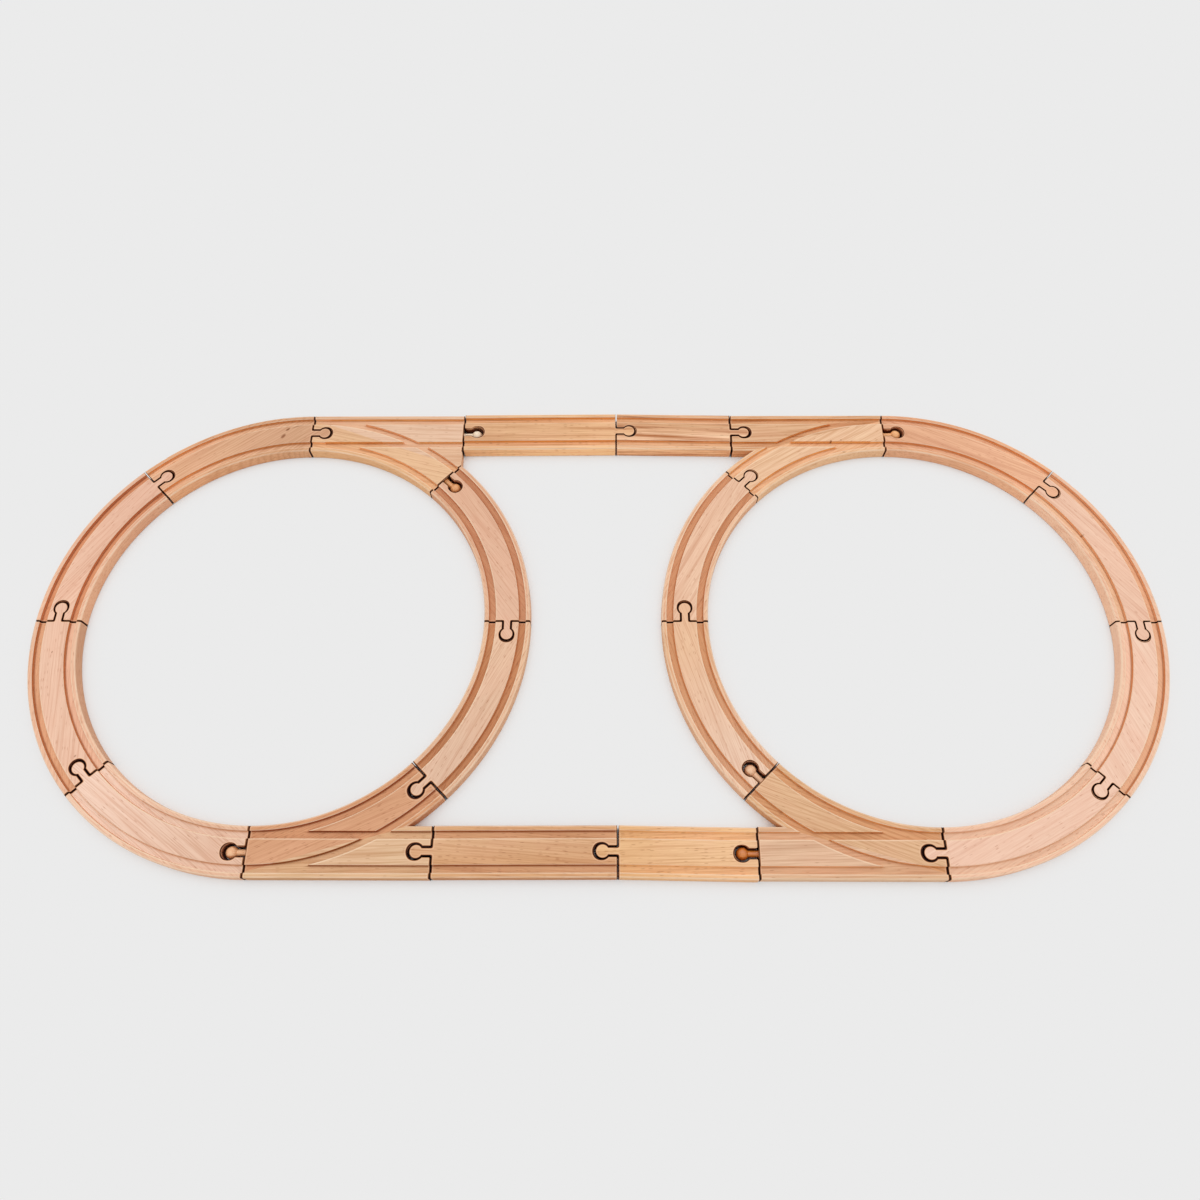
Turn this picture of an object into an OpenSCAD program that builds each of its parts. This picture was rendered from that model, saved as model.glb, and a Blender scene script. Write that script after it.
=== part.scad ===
// Wooden toy train track: two round loops joined by two straight rows, laid flat.
// Millimetres, +Z up. The origin is on the floor, midway between the two loop centres.
// The rows run along X. The front row is on the -Y side and the back row on the +Y side.

/* [Board section] */
// Width of every board across the track
board_w = 40; // [36:0.5:44]
// Thickness of every board
board_h = 12; // [10:0.5:16]
// Rounding of the two long top edges
edge_r = 1.8; // [0.5:0.1:2.2]
// Rounding of the two long bottom edges
base_r = 0.8; // [0.3:0.1:1.5]
// Chamfer along the top edge of every end face
end_ease = 0.4; // [0.2:0.05:0.6]

/* [Wheel grooves] */
// Flat band between the two wheel grooves
gauge_w = 20; // [18:0.5:21]
// Width of one wheel groove
groove_w = 6; // [5:0.25:7]
// Depth of one wheel groove
groove_d = 3; // [2:0.25:4]
// Chamfer along the groove's top edges
groove_ease = 0.5; // [0.2:0.1:0.9]
// Rounding at the foot of the groove's walls
groove_foot_r = 0.9; // [0.3:0.1:1.5]

/* [Sections] */
// Centre-line radius of a curve, eight curves to a full circle
curve_r = 195; // [180:1:215]
// Length of a long straight and of a switch's straight leg
long_len = 144; // [140:1:160]
// Length of a short straight
short_len = 108; // [90:1:130]
// Gap left between the end faces of two joined sections
joint_gap = 0.9; // [0.8:0.1:1.3]

/* [Tongue and socket] */
// Radius of the round head on a tongue
head_r = 5.5; // [5:0.1:6]
// Width of the tongue's neck
neck_w = 6; // [5:0.1:7]
// Distance from the end face to the middle of the head
head_reach = 12.4; // [11.5:0.1:14]
// Rounding where the neck meets the end face
neck_root_r = 2; // [1:0.1:2.5]
// Clearance around the head in its socket
head_clear = 0.9; // [0.8:0.05:1.2]
// Clearance on each side of the neck in its slot
neck_clear = 1; // [0.8:0.05:1.3]
// Distance of the head's middle from the socket's middle
seat_slack = 0.5; // [0.3:0.05:0.6]

/* [Turned pegs] */
// Radius of the ball on a peg
ball_r = 5; // [4.4:0.1:5.1]
// Radius of a peg's neck
peg_neck_r = 2.7; // [1.8:0.1:2.8]
// Radius of the shank glued into the board
shank_r = 3.4; // [3.2:0.1:4]
// Length of the shank
shank_len = 18; // [14:0.5:20]

/* [Switch boards] */
// Where the glued seam starts at the common end, in from the board's outer edge
seam_start = 5; // [4.6:0.1:7]
// Width of the corner that the main board keeps at the webbed leg's end
web_corner = 3; // [2.4:0.1:3.6]
// Offset between two crossing grooves where the second one starts to be cut
groove_split = 0.5; // [0.35:0.05:0.8]
// How much deeper the second groove runs where two grooves cross
cross_depth = 0.1; // [0.05:0.05:0.3]

/* [Rows as laid] */
// Back row, shift off the row's line where the long straight starts
back_shift_start = 1.1; // [-1.1:0.1:1.1]
// Back row, shift off the row's line between the two straights
back_shift_mid = 2; // [-2.5:0.1:2.5]
// Back row, shift off the row's line where the short straight ends
back_shift_end = 0.3; // [-0.3:0.1:0.3]
// Front row, shift off the row's line where the long straight starts
front_shift_start = 0.3; // [-0.3:0.1:0.3]
// Front row, shift off the row's line between the two straights
front_shift_mid = 1; // [-2.5:0.1:2.5]
// Front row, shift off the row's line where the short straight ends
front_shift_end = -0.7; // [-1.1:0.1:1.1]

/* [Hidden] */
$fn = 96;
eps = 1;
half_w = board_w / 2;
groove_y = (gauge_w + groove_w) / 2;
half_gap = joint_gap / 2;
gap_angle = joint_gap / curve_r * 180 / PI;
curve_angle = 360 / 8;
outer_r = curve_r + half_w;

// Joint geometry
socket_r = head_r + head_clear;
slot_w = neck_w + 2 * neck_clear;
root_lap = neck_root_r / 40;
socket_reach = head_reach - joint_gap + seat_slack;

// Loop centres and the joints along the rows
long_pitch = long_len + joint_gap;
short_pitch = short_len + joint_gap;
loop_dist = 3 * long_pitch + short_pitch;
loop_x = loop_dist / 2;
row_x0 = -loop_x;
row_x1 = row_x0 + long_pitch;
row_x2 = row_x1 + long_pitch;
row_x3 = row_x2 + short_pitch;

// Switch geometry in its own frame: common joint at the origin, straight leg along +X,
// curved leg bending to +Y about the point (0, curve_r)
leg_end = half_gap + long_len;
frog_angle = acos((curve_r - half_w) / outer_r);
frog_x = outer_r * sin(frog_angle);
frog_y = half_w;
seam_y = seam_start - half_w;
web_end_angle = asin(leg_end / outer_r);
web_leg_angle = web_end_angle + gap_angle / 2;
web_seam_r = outer_r - web_corner;
web_seam_x = web_seam_r * sin(web_end_angle);
web_seam_y = curve_r - web_seam_r * cos(web_end_angle);
web_corner_y = curve_r - outer_r * cos(web_end_angle);
branch_split_angle = acos(1 - groove_split / (curve_r + groove_y));
main_split_x = sqrt(2 * groove_split * (curve_r - groove_y));

// Wood colours
beech = [0.86, 0.66, 0.48];
pink_beech = [0.88, 0.66, 0.53];
yellow_beech = [0.87, 0.69, 0.46];
brown_beech = [0.78, 0.55, 0.36];
pale_wood = [0.91, 0.77, 0.59];
dark_wood = [0.70, 0.43, 0.22];

// Material outside a rounded corner of radius r, corner pointing to +X +Y from the centre
module corner_waste(r) {
  difference() {
    square([r + eps, r + eps]);
    circle(r);
  }
}

// Section of a plain board: X across the track, Y up, long edges rounded
module blank_profile() {
  difference() {
    translate([-half_w, 0])
      square([board_w, board_h]);
    for (s = [0, 1]) {
      mirror([s, 0]) {
        translate([half_w - edge_r, board_h - edge_r])
          corner_waste(edge_r);
        translate([half_w - base_r, base_r])
          mirror([0, 1])
            corner_waste(base_r);
      }
    }
  }
}

// Section of a plain board with a flat web added on its +X side
module web_profile() {
  difference() {
    translate([-half_w, 0])
      square([2 * board_w, board_h]);
    mirror([1, 0]) {
      translate([half_w - edge_r, board_h - edge_r])
        corner_waste(edge_r);
      translate([half_w - base_r, base_r])
        mirror([0, 1])
          corner_waste(base_r);
    }
  }
}

// Section of one groove, centred on X = 0, with eased mouth and rounded foot
module groove_profile() {
  half_g = groove_w / 2;
  floor_z = board_h - groove_d;
  difference() {
    translate([-half_g, floor_z])
      square([groove_w, groove_d + eps]);
    for (s = [0, 1]) {
      mirror([s, 0])
        translate([half_g - groove_foot_r, floor_z + groove_foot_r])
          mirror([0, 1])
            corner_waste(groove_foot_r);
    }
  }
  for (s = [0, 1]) {
    mirror([s, 0])
      polygon([
        [half_g - eps, board_h - groove_ease - eps],
        [half_g + groove_ease + eps, board_h + eps],
        [half_g - eps, board_h + eps]
      ]);
  }
}

// Section of the second groove where two grooves cross, plain walls
module cross_profile() {
  cut_d = groove_d + cross_depth;
  translate([-groove_w / 2, board_h - cut_d])
    square([groove_w, cut_d + eps]);
}

// Section of a finished board with its two wheel grooves
module track_profile() {
  difference() {
    blank_profile();
    for (s = [-1, 1]) {
      translate([s * groove_y, 0])
        groove_profile();
    }
  }
}

// Section of the webbed main board with its two wheel grooves
module web_track_profile() {
  difference() {
    web_profile();
    for (s = [-1, 1]) {
      translate([s * groove_y, 0])
        groove_profile();
    }
  }
}

// A section swept along +X from x0 to x1; the section's X axis becomes +Y
module sweep_x(x0, x1) {
  translate([x0, 0, 0])
    rotate([90, 0, 90])
      linear_extrude(x1 - x0)
        children();
}

// A section swept about Z on the centre-line radius from angle a0 to a1
module sweep_arc(a0, a1) {
  rotate([0, 0, a0])
    rotate_extrude(angle = a1 - a0)
      translate([curve_r, 0])
        children();
}

// Rounded inner corner between two walls meeting at the origin, filling +X +Y,
// its arc lapping into the end face on X = 0
module root_fill(r) {
  difference() {
    translate([-eps, 0])
      square([r + eps, r]);
    translate([r - root_lap, r])
      circle(r);
  }
}

// Outline of a tongue: end face on X = 0, head towards +X
module tongue_outline() {
  translate([-2 * eps, -neck_w / 2 - neck_root_r])
    square([2 * eps, neck_w + 2 * neck_root_r]);
  translate([-eps, -neck_w / 2])
    square([head_reach + eps, neck_w]);
  translate([head_reach, 0])
    circle(head_r);
  for (s = [0, 1]) {
    mirror([0, s])
      translate([0, neck_w / 2])
        root_fill(neck_root_r);
  }
}

// Outline of a socket: end face on X = 0, board on the +X side
module socket_outline() {
  translate([-eps, -slot_w / 2])
    square([socket_reach + eps, slot_w]);
  translate([socket_reach, 0])
    circle(socket_r);
  for (s = [0, 1]) {
    mirror([0, s])
      translate([0, slot_w / 2])
        root_fill(neck_root_r);
  }
}

module tongue() {
  linear_extrude(board_h)
    tongue_outline();
}

module socket() {
  translate([0, 0, -eps])
    linear_extrude(board_h + 2 * eps)
      socket_outline();
}

// Chamfer cutter along the top edge of an end face on X = 0, reaching this far each side
module end_chamfer(reach = half_w + eps) {
  translate([0, reach, 0])
    rotate([90, 0, 0])
      linear_extrude(2 * reach)
        polygon([
          [-2 * eps, board_h - end_ease - 2 * eps],
          [end_ease + eps, board_h + eps],
          [-2 * eps, board_h + eps]
        ]);
}

// Blind bore for a peg: mouth on X = 0, running to +X
module peg_bore() {
  translate([0, 0, board_h / 2])
    rotate([0, 90, 0])
      translate([0, 0, -eps])
        cylinder(h = shank_len + eps, r = shank_r);
}

// Half outline of a turned peg, turned about Y; end face of the board on Y = 0
module peg_outline() {
  translate([0, -shank_len])
    square([shank_r, shank_len]);
  translate([0, -eps])
    square([peg_neck_r, head_reach + eps]);
  intersection() {
    translate([0, head_reach])
      circle(ball_r);
    translate([0, head_reach - 2 * ball_r])
      square([2 * ball_r, 4 * ball_r]);
  }
}

// Turned peg: board's end face on X = 0, ball towards -X, shank towards +X
module peg() {
  translate([0, 0, board_h / 2])
    rotate([0, -90, 0])
      rotate_extrude()
        peg_outline();
}

// Frame on the end face of a curve at angle a: X runs back along the curve
module at_arc_end(a) {
  rotate([0, 0, a])
    translate([curve_r, 0, 0])
      rotate([0, 0, -90])
        children();
}

// Curve about its loop's centre: tongue on the end at a0, socket in the end at a1
module curve(a0, a1) {
  e0 = a0 + gap_angle / 2;
  e1 = a1 - gap_angle / 2;
  difference() {
    union() {
      difference() {
        sweep_arc(e0, e1)
          track_profile();
        at_arc_end(e0)
          mirror([1, 0, 0])
            end_chamfer();
        at_arc_end(e1)
          end_chamfer();
      }
      at_arc_end(e0)
        tongue();
    }
    at_arc_end(e1)
      socket();
  }
}

// Straight centred on the origin: socket in the -X end, tongue on the +X end
module straight(len) {
  difference() {
    union() {
      difference() {
        sweep_x(-len / 2, len / 2)
          track_profile();
        translate([-len / 2, 0, 0])
          end_chamfer();
        translate([len / 2, 0, 0])
          mirror([1, 0, 0])
            end_chamfer();
      }
      translate([len / 2, 0, 0])
        tongue();
    }
    translate([-len / 2, 0, 0])
      socket();
  }
}

// Plan of a plain main board: everything on the -Y side of the seam
module main_plan() {
  polygon([
    [half_gap, -half_w - eps],
    [leg_end, -half_w - eps],
    [leg_end, half_w + eps],
    [frog_x + eps * (frog_x - half_gap) / (frog_y - seam_y), half_w + eps],
    [half_gap, seam_y]
  ]);
}

// Plan of the webbed main board: fills the fork out to the curved leg's corner
module web_main_plan() {
  polygon([
    [half_gap, -half_w - eps],
    [leg_end, -half_w - eps],
    [leg_end, web_corner_y],
    [web_seam_x, web_seam_y],
    [half_gap, seam_y]
  ]);
}

// Plan of a plain branch board's side of the seam
module branch_plan() {
  far_x = frog_x + board_w;
  slope = (frog_y - seam_y) / (frog_x - half_gap);
  polygon([
    [half_gap, seam_y],
    [far_x, seam_y + slope * (far_x - half_gap)],
    [far_x, curve_r],
    [half_gap, curve_r]
  ]);
}

// Plan of the webbed switch's branch board's side of the seam
module web_branch_plan() {
  far_x = web_seam_x + board_w;
  slope = (web_seam_y - seam_y) / (web_seam_x - half_gap);
  polygon([
    [half_gap, seam_y],
    [far_x, seam_y + slope * (far_x - half_gap)],
    [far_x, curve_r],
    [half_gap, curve_r]
  ]);
}

module full_height() {
  translate([0, 0, -eps])
    linear_extrude(board_h + 2 * eps)
      children();
}

// Outer groove of the curved leg, as it crosses the main board
module branch_groove(a1) {
  translate([0, curve_r, 0])
    sweep_arc(branch_split_angle - 90, a1 - 90)
      translate([groove_y, 0])
        cross_profile();
}

// Inner groove of the straight leg, as it crosses the branch board
module main_groove() {
  sweep_x(main_split_x, leg_end + eps)
    translate([groove_y, 0])
      cross_profile();
}

// Frame at the end of a curved leg: X into the leg, end face on X = 0
module at_leg_end(a) {
  translate([0, curve_r, 0])
    at_arc_end(a - 90)
      children();
}

// Frame at the end of the straight leg: X into the leg, end face on X = 0
module at_main_end() {
  translate([leg_end, 0, 0])
    rotate([0, 0, 180])
      children();
}

// Frame at the common end: X into the switch, end face on X = 0
module at_common_end() {
  translate([half_gap, 0, 0])
    children();
}

// Main board with an open fork between the legs
module open_main_board() {
  difference() {
    intersection() {
      sweep_x(0, leg_end + eps)
        track_profile();
      full_height()
        main_plan();
    }
    branch_groove(curve_angle);
    at_common_end()
      end_chamfer();
    at_main_end()
      end_chamfer();
  }
}

// Main board with the fork filled by a flat web
module web_main_board() {
  difference() {
    intersection() {
      sweep_x(0, leg_end + eps)
        web_track_profile();
      full_height()
        web_main_plan();
    }
    branch_groove(curve_angle);
    at_common_end()
      end_chamfer();
    at_main_end()
      end_chamfer(web_corner_y + eps);
  }
}

// Whole curved leg from the common joint to its eased end face at angle a
module eased_leg(a) {
  difference() {
    translate([0, curve_r, 0])
      sweep_arc(-90, a - 90)
        track_profile();
    at_leg_end(a)
      end_chamfer();
  }
}

// Branch board with an open fork between the legs
module open_branch_board() {
  difference() {
    intersection() {
      eased_leg(curve_angle - gap_angle / 2);
      full_height()
        branch_plan();
    }
    main_groove();
    at_common_end()
      end_chamfer();
  }
}

// Branch board of the webbed switch
module web_branch_board() {
  difference() {
    intersection() {
      eased_leg(web_end_angle);
      full_height()
        web_branch_plan();
    }
    main_groove();
    at_common_end()
      end_chamfer();
  }
}

// Switch with a peg at the common end and a socket in each leg
module peg_first_main() {
  difference() {
    open_main_board();
    at_main_end()
      socket();
  }
}

module peg_first_branch() {
  difference() {
    open_branch_board();
    at_leg_end(curve_angle - gap_angle / 2)
      socket();
    at_common_end()
      peg_bore();
  }
}

module peg_first_peg() {
  at_common_end()
    peg();
}

// Switch with a socket in the common end and a peg on each leg
module socket_first_main() {
  difference() {
    open_main_board();
    at_main_end()
      peg_bore();
  }
}

module socket_first_branch() {
  difference() {
    open_branch_board();
    at_common_end()
      socket();
    at_leg_end(curve_angle - gap_angle / 2)
      peg_bore();
  }
}

module socket_first_main_peg() {
  at_main_end()
    peg();
}

module socket_first_branch_peg() {
  at_leg_end(curve_angle - gap_angle / 2)
    peg();
}

// Webbed switch with a socket in the common end and a peg on each leg
module web_main() {
  difference() {
    web_main_board();
    at_main_end()
      peg_bore();
  }
}

module web_branch() {
  difference() {
    web_branch_board();
    at_common_end()
      socket();
    at_leg_end(web_end_angle)
      peg_bore();
  }
}

module web_main_peg() {
  at_main_end()
    peg();
}

module web_branch_peg() {
  at_leg_end(web_end_angle)
    peg();
}

// Placing
module in_left_loop() {
  translate([-loop_x, 0, 0])
    children();
}

module in_right_loop() {
  translate([loop_x, 0, 0])
    children();
}

module in_row(y, x0, x1, s0, s1) {
  translate([(x0 + x1) / 2, y + (s0 + s1) / 2, 0])
    rotate([0, 0, atan((s1 - s0) / (x1 - x0))])
      children();
}

module at_front_left() {
  translate([-loop_x, -curve_r, 0])
    children();
}

module at_back_left() {
  translate([-loop_x, curve_r, 0])
    mirror([0, 1, 0])
      children();
}

module at_back_right() {
  translate([loop_x, curve_r, 0])
    rotate([0, 0, 180])
      children();
}

module at_front_right() {
  translate([loop_x, -curve_r, 0])
    mirror([1, 0, 0])
      children();
}

module curve_left_back() {
  color(beech)
    in_left_loop()
      curve(90, 135);
}

module curve_left_outer_back() {
  color(pink_beech)
    in_left_loop()
      curve(135, 180);
}

module curve_left_outer_front() {
  color(pink_beech)
    in_left_loop()
      curve(180, 225);
}

module curve_left_front() {
  color(pink_beech)
    in_left_loop()
      curve(225, 270);
}

module curve_left_inner_front() {
  color(beech)
    in_left_loop()
      curve(315, 360);
}

// Makes up the rest of the quarter turn after the webbed switch's shorter leg
module curve_left_inner_back() {
  color(beech)
    in_left_loop()
      curve(0, 90 - web_leg_angle);
}

module curve_right_back() {
  color(pink_beech)
    in_right_loop()
      curve(45, 90);
}

module curve_right_outer_back() {
  color(pink_beech)
    in_right_loop()
      curve(0, 45);
}

module curve_right_outer_front() {
  color(pink_beech)
    in_right_loop()
      curve(-45, 0);
}

module curve_right_front() {
  color(pink_beech)
    in_right_loop()
      curve(270, 315);
}

module curve_right_inner_front() {
  color(beech)
    in_right_loop()
      curve(180, 225);
}

module curve_right_inner_back() {
  color(beech)
    in_right_loop()
      curve(135, 180);
}

module straight_back_long() {
  color(yellow_beech)
    in_row(curve_r, row_x1, row_x2, back_shift_start, back_shift_mid)
      straight(long_len);
}

module straight_back_short() {
  color(brown_beech)
    in_row(curve_r, row_x2, row_x3, back_shift_mid, back_shift_end)
      straight(short_len);
}

module straight_front_long() {
  color(brown_beech)
    in_row(-curve_r, row_x1, row_x2, front_shift_start, front_shift_mid)
      rotate([0, 0, 180])
        straight(long_len);
}

module straight_front_short() {
  color(yellow_beech)
    in_row(-curve_r, row_x2, row_x3, front_shift_mid, front_shift_end)
      rotate([0, 0, 180])
        straight(short_len);
}

module switch_front_left_main() {
  color(yellow_beech)
    at_front_left()
      peg_first_main();
}

module switch_front_left_branch() {
  color(brown_beech)
    at_front_left()
      peg_first_branch();
}

module switch_front_left_peg() {
  color(pale_wood)
    at_front_left()
      peg_first_peg();
}

module switch_back_left_main() {
  color(beech)
    at_back_left()
      web_main();
}

module switch_back_left_branch() {
  color(beech)
    at_back_left()
      web_branch();
}

module switch_back_left_peg_main() {
  color(pale_wood)
    at_back_left()
      web_main_peg();
}

module switch_back_left_peg_branch() {
  color(pale_wood)
    at_back_left()
      web_branch_peg();
}

module switch_back_right_main() {
  color(yellow_beech)
    at_back_right()
      peg_first_main();
}

module switch_back_right_branch() {
  color(yellow_beech)
    at_back_right()
      peg_first_branch();
}

module switch_back_right_peg() {
  color(pale_wood)
    at_back_right()
      peg_first_peg();
}

module switch_front_right_main() {
  color(pink_beech)
    at_front_right()
      socket_first_main();
}

module switch_front_right_branch() {
  color(yellow_beech)
    at_front_right()
      socket_first_branch();
}

module switch_front_right_peg_main() {
  color(dark_wood)
    at_front_right()
      socket_first_main_peg();
}

module switch_front_right_peg_branch() {
  color(dark_wood)
    at_front_right()
      socket_first_branch_peg();
}

curve_left_back();
curve_left_outer_back();
curve_left_outer_front();
curve_left_front();
curve_left_inner_front();
curve_left_inner_back();
curve_right_back();
curve_right_outer_back();
curve_right_outer_front();
curve_right_front();
curve_right_inner_front();
curve_right_inner_back();
straight_back_long();
straight_back_short();
straight_front_long();
straight_front_short();
switch_front_left_main();
switch_front_left_branch();
switch_front_left_peg();
switch_back_left_main();
switch_back_left_branch();
switch_back_left_peg_main();
switch_back_left_peg_branch();
switch_back_right_main();
switch_back_right_branch();
switch_back_right_peg();
switch_front_right_main();
switch_front_right_branch();
switch_front_right_peg_main();
switch_front_right_peg_branch();
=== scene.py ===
import math
from types import SimpleNamespace

import bpy
from mathutils import Matrix, Vector

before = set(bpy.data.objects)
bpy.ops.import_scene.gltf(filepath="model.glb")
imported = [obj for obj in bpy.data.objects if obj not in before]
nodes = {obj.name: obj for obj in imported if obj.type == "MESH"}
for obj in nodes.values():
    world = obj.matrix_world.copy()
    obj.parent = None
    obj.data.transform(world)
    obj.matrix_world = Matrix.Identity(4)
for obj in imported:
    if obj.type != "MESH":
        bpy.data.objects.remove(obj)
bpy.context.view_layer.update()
MM = 0.001
TO_MM = 1000.0

# Layout of the track, in millimetres, as in the part
CURVE_R = 195.0
LOOP_X = 271.8
LEFT = (-LOOP_X, 0.0)
RIGHT = (LOOP_X, 0.0)
BACK_START, BACK_MID, BACK_END = (-126.9, 196.1), (18.0, 197.0), (126.9, 195.3)
FRONT_START, FRONT_MID, FRONT_END = (-126.9, -194.7), (18.0, -194.0), (126.9, -195.7)

# Section of a board: top face, and distances from the track's centre line or from a groove's own
BOARD_TOP = 12.0
GROOVE_AT = 13.0
GROOVE_EDGE = (3.7, 3.4)
GROOVE_RIM_AT = 3.4
GROOVE_RIM = (0.75, 0.3)
GROOVE_HEIGHT = (8.4, 8.8)
BOARD_EDGE = (19.6, 19.2)
MIDDLE_BAND = (10.5, 9.5)
RAIL = (16.2, 17.0)
# where the painted shadow line and the painted light line lie across a groove's floor
CORNER_LINE = (1.3, 2.9)
SILL_LINE = (-1.2, -2.8)
CROSSING = (3.3, 2.9)
SUNK_HEIGHT = (BOARD_TOP - 0.35, BOARD_TOP - 0.9)
LIP_HEIGHT = (BOARD_TOP - 0.9, BOARD_TOP - 0.4)
BEVEL_HEIGHT = (BOARD_TOP - 2.4, BOARD_TOP - 1.6)

# How far a face looks up, from 1 for a top face to 0 for a wall
UPRIGHT, GROOVE_WALL, BEVEL, BEVEL_TOP = (0.85, 0.35), (0.9, 0.4), (0.985, 0.90), (0.25, 0.6)

# Tongue and socket, from the middle of the gap between two end faces
HEAD_AT, HEAD_R, NECK_HALF = 11.95, 5.5, 3.0
SOCKET_AT, SOCKET_R, SLOT_HALF = 12.45, 6.4, 4.0
END_FACE = 0.45
ROOT_BLEND = 2.6
TIP_SHADE = 0.5
JOINT_END = (22.0, 24.0)
OUT_OF_REACH = 10.0

# Grain: sizes of the noises (along the grain, across it, down into it) and the share of each that shows
BROAD_SIZE, BROAD_SPAN = (140, 16, 16), (0.35, 0.68)
STREAK_SIZE, STREAK_SPAN, CREAM_SPAN = (190, 4.5, 1.6), (0.48, 0.72), (0.46, 0.30)
FIBRE_SIZE, FIBRE_DEPTH = (16, 0.45, 0.45), 0.24
VEIN_SIZE, VEIN_SPAN = (75, 1.15, 0.9), (0.47, 0.66)
CLOUD_SIZE, CLOUD_SPAN = (30, 22, 20), (0.35, 0.7)
MOST = (0.3, 0.7)
SEED_STEP = (37.0, 61.0, 17.0)
LIGHT_STEP, LIGHT_MAX = 5, 250
LOG_TILT, LOG_DEPTH, RING_SCALE, RING_SHARPNESS = 3.0, 35.0, 0.314 / 2.6, 3.0
FLECK_SIZE, FLECK_SPAN, FLECK_DEPTH = (7.0, 1.0, 1.0), (0.36, 0.12), 0.6
FLECK_LEAST, FLECK_MOST, FLECK_SLOPE = 1.0, 1.02, 0.6
FLECK_TINT = (0.86, 0.78, 0.70)
BLUSH_DEPTH = 0.12
MARK_DOWN, MARK_SPAN, MARK_RAG = 40.0, (1.0, 0.35), (0.35, 0.35, 0.0)

# Tones in sRGB, and tints that multiply a linear colour
CREAM, BLUSH, KNOT = (242, 208, 168), (232, 168, 140), (140, 82, 46)
# Painted highlights: on each groove's lit lip, on the rounded edges, and in a line beside each joint
LIT_LIP_HIGHLIGHT, ROUNDED_EDGE_HIGHLIGHT, JOINT_HIGHLIGHT = (250, 222, 190), (250, 226, 198), (250, 216, 182)
# Painted light along the lit side of each groove's floor
SILL_LIGHT_TINT = (1.08, 1.14, 1.18)
END_GRAIN = (0.92, 0.85, 0.76)
# Painted shade on the faces of a shut joint, darker lower down
GAP_SHADE_LOW, GAP_SHADE_HIGH, GAP_HEIGHT = (0.16, 0.066, 0.028), (0.55, 0.25, 0.11), (8.0, 11.4)
# Painted shade of a joint's gap on the top edges beside it: warm at its outer reach, near black at the edge
WARM_GAP_SHADE, WARM_GAP_SHADE_REACH = (0.80, 0.50, 0.30), (1.15, 0.6)
GAP_EDGE_SHADE, GAP_EDGE_SHADE_REACH = (0.055, 0.018, 0.008), (0.74, 0.40)
PALE_REACH, PALE_DEPTH = (1.9, 1.0), 0.4
CUP_REACH, CUP_BARE = (2.0, 1.0), 0.85
# Strengths of the painted highlights on the lit lips and on the rounded edges
LIT_LIP_HIGHLIGHT_DEPTH, ROUNDED_EDGE_HIGHLIGHT_DEPTH = (0.35, 0.6), (0.25, 0.55)
PEGGED_WEIGHT = 0.9

# A joint counts as shut where this little sky is open within this distance
SHUT_REACH, SHUT_SPAN, SHUT_SAMPLES = 6.0 * MM, (0.78, 0.5), 8

WOOD_SPECULAR = 0.14
WOOD_ROUGH, FIBRE_ROUGH, CLOUD_ROUGH, RIM_POLISH = (0.44, 0.58), 0.6, 0.4, 0.08
WOOD_RELIEF, FIBRE_RELIEF, FLECK_RELIEF, RING_RELIEF = (0.25, 0.12 * MM), 0.5, 0.5, 0.2

# Turned pegs: grain along the axis, and the lathe's marks round it
PEG_FIBRE_SIZE, PEG_CLOUD_SIZE, LATHE_SIZE = (14, 0.8, 0.8), (8, 3, 3), (0.35, 60, 60)
PEG_SPAN, LATHE_SPAN = (0.4, 0.7), (0.55, 0.75)
PEG_CLOUD_DEPTH, PEG_CLOUD_DARK = 0.35, 0.9
LATHE_DEPTH, LATHE_DARK = 0.25, 0.8
# Painted warm shade on a peg's sides, fading out towards its top
PEG_SIDE_SHADE, PEG_SIDE_SHADE_SPAN = (1.0, 0.74, 0.52), (0.9, 0.2)
PEG_RELIEF, PEG_FIBRE_RELIEF = (0.3, 0.1 * MM), 0.5
PEG_ROUGH_SPREAD = 0.05
PEG_COAT_ROUGH = 0.2

FLOOR_HALF = 6.0
FLOOR_DROP = 0.1 * MM
GLOW_REACH, GLOW_SAMPLES = 0.08, 4
GLOW_FAR = 0.9
GLOW_FADE = ((0.28, 0.0), (0.5, 0.45), (0.93, 0.88))

SKY = 0.84
ZENITH, HORIZON = 1.12, 0.76
SUN_TILT, SUN_WIDTH = 25.0, 56.0

PITCH, DIST, FOCAL_PX = 65.4245, 813.1667, 917.1392
TARGET = Vector((3.2277, 25.4529, 0.0))
ROLL, YAW = -1.0118, 1.1275
IMAGE_PX = 1200
SENSOR_MM = 36.0
CLIP = (0.01, 50.0)


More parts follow.
